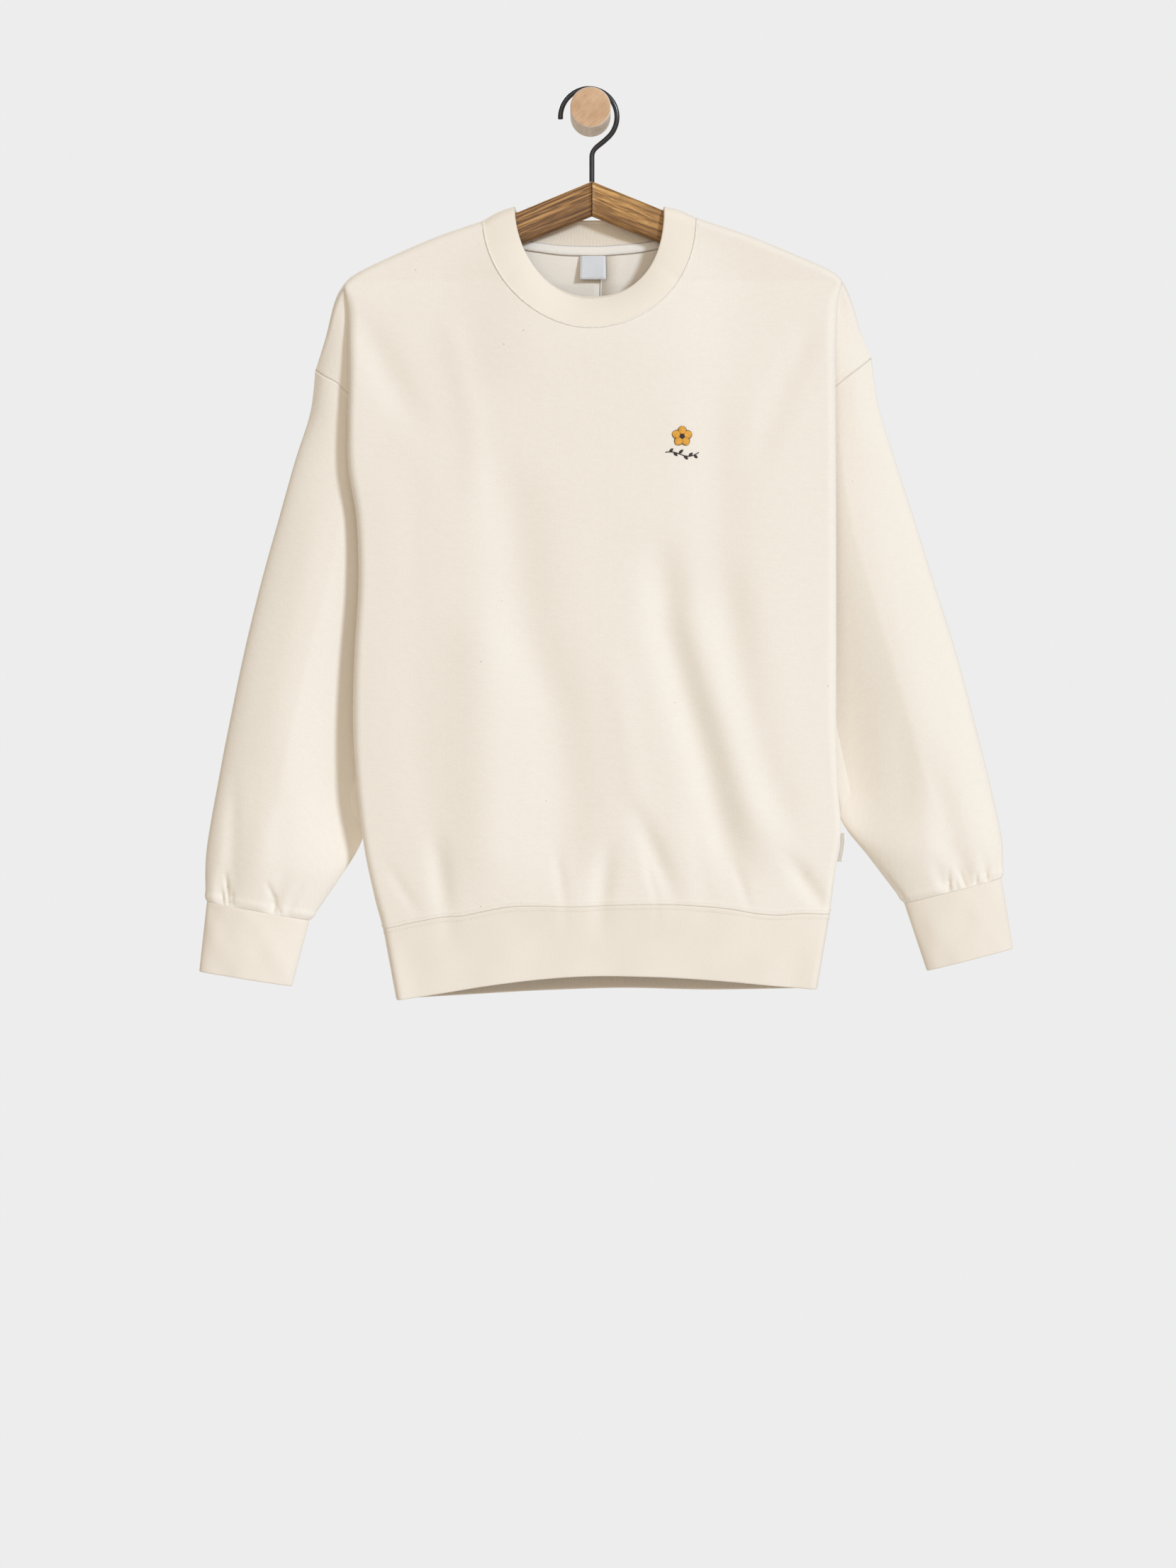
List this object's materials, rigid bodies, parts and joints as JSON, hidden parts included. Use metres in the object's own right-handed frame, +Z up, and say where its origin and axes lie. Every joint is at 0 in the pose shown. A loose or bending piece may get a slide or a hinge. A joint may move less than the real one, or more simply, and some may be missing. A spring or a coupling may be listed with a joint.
{
  "type": "crewneck sweatshirt on a wooden hanger and wall peg",
  "caption": "Crewneck sweatshirt with dropped shoulders and ribbed collar, cuffs and hem, hanging by a wooden hanger from a round wall peg.",
  "frame": {"origin": "centre of the peg's back face, on the wall plane", "axes": "+Z up, -Y out of the wall towards the viewer, +X to the wearer's left"},
  "size_m": [0.6914, 0.0747, 0.7754],
  "materials": {
    "fleece": "matt cotton fleece",
    "ribbing": "matt fine ribbing",
    "tape": "matt woven tape",
    "label": "smooth satin label",
    "amber_thread": "satin embroidery thread",
    "dark_thread": "satin embroidery thread",
    "oak": "oiled oak",
    "beech": "plain beech",
    "black_metal": "gloss black"
  },
  "bodies": {
    "root": {"front": "fleece", "back_right": "fleece", "back_left": "fleece", "sleeve_right": "fleece", "sleeve_left": "fleece", "cuff_right": "ribbing", "cuff_left": "ribbing", "hem_rib": "ribbing", "collar_rib": "ribbing", "neck_tape": "tape", "neck_label": "label", "side_label": "tape", "motif_flower": "amber_thread", "motif_sprig": "dark_thread", "hanger_arm_right": "oak", "hanger_arm_left": "oak", "hook": "black_metal", "peg": "beech"}
  },
  "joints": []
}
